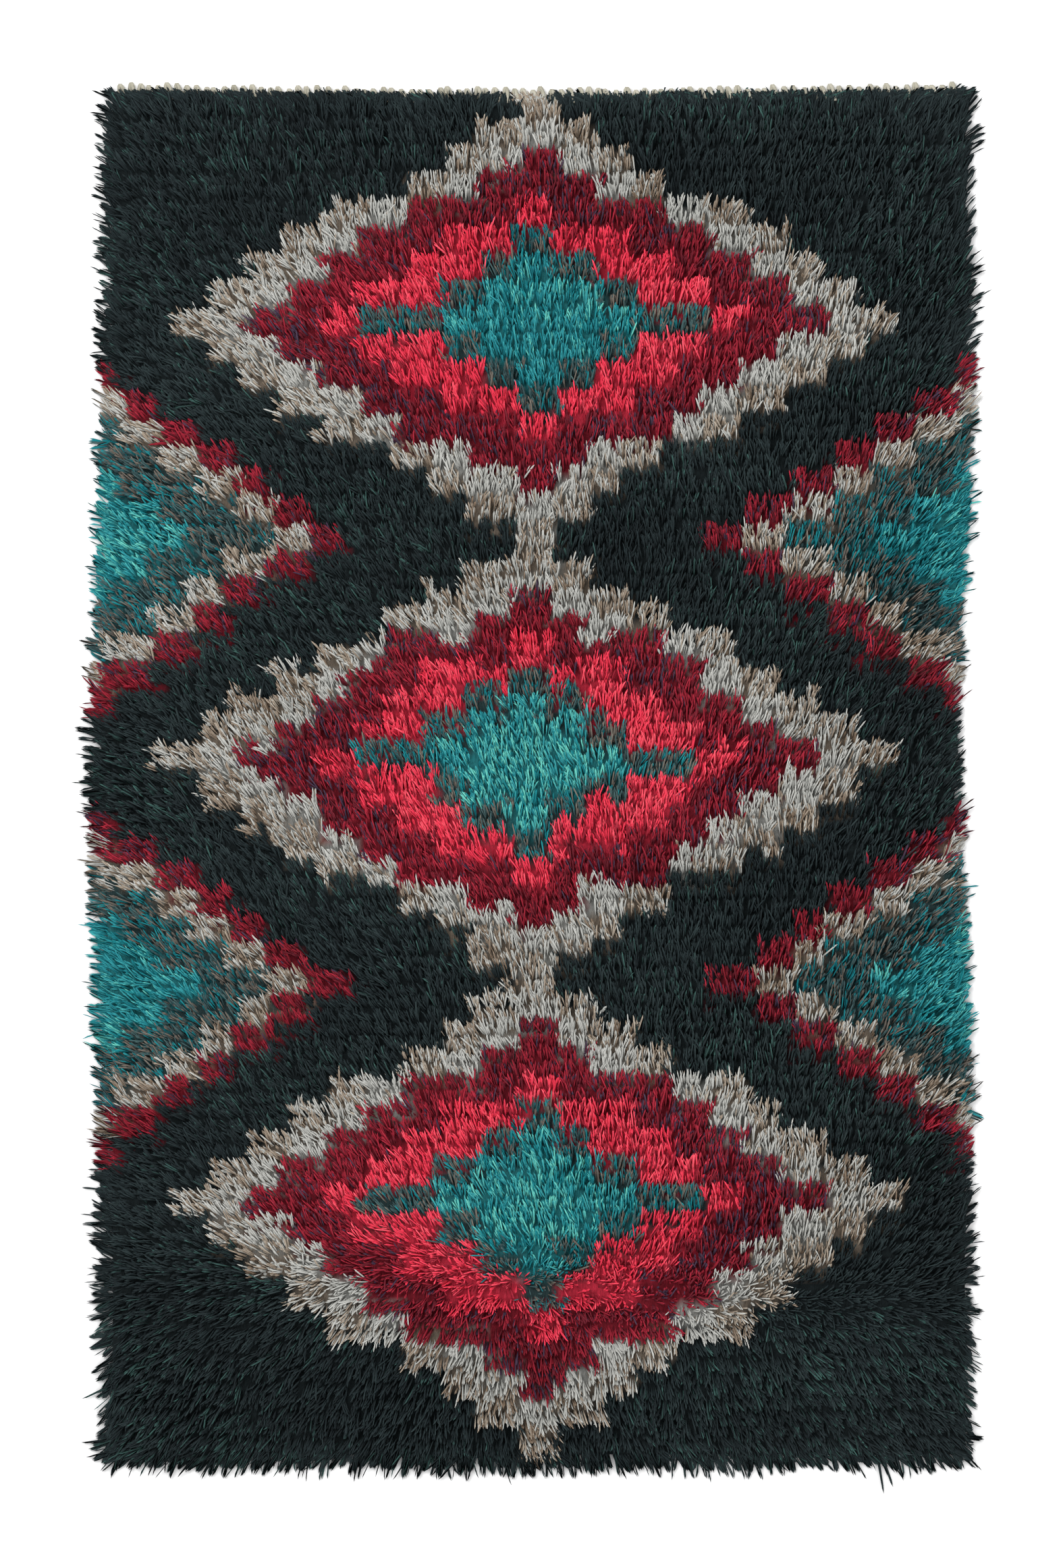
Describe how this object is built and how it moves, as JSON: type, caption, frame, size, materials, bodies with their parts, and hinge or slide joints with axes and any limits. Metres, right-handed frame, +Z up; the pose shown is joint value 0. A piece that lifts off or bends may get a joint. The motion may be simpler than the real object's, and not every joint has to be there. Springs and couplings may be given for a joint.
{
  "type": "rya rug",
  "caption": "Flat upright rectangular floor rug of hand-knotted long shag on a thin woven cloth, with splayed locks on all edges and a row of warp loops along one end.",
  "frame": {"origin": "on the floor under the middle of the rug's bounding box", "axes": "+Z up out of the pile, +Y along the rug's length towards the end with the warp loops, +X to the right seen from above"},
  "size_m": [0.9254, 1.4224, 0.0257],
  "materials": {
    "woven_wool": "undyed wool and linen weave, matt",
    "ink_yarn": "green-black wool pile, soft sheen",
    "bottle_yarn": "bottle green wool pile, soft sheen",
    "crimson_yarn": "crimson wool pile, soft sheen",
    "wine_yarn": "wine red wool pile, soft sheen",
    "scarlet_yarn": "scarlet and coral wool pile, soft sheen",
    "grey_yarn": "light grey wool pile, soft sheen",
    "fawn_yarn": "fawn wool pile, soft sheen",
    "slate_yarn": "slate green-grey wool pile, soft sheen",
    "teal_yarn": "teal and mint wool pile, soft sheen",
    "plum_yarn": "plum grey wool pile, soft sheen",
    "taupe_yarn": "taupe wool pile, soft sheen",
    "petrol_yarn": "petrol blue wool pile, soft sheen"
  },
  "bodies": {
    "root": {"woven_cloth": "woven_wool", "shag_pile": "ink_yarn", "rim_locks_left": "ink_yarn", "rim_locks_right": "ink_yarn", "rim_locks_bottom": "ink_yarn", "rim_locks_top": "ink_yarn"}
  },
  "joints": []
}
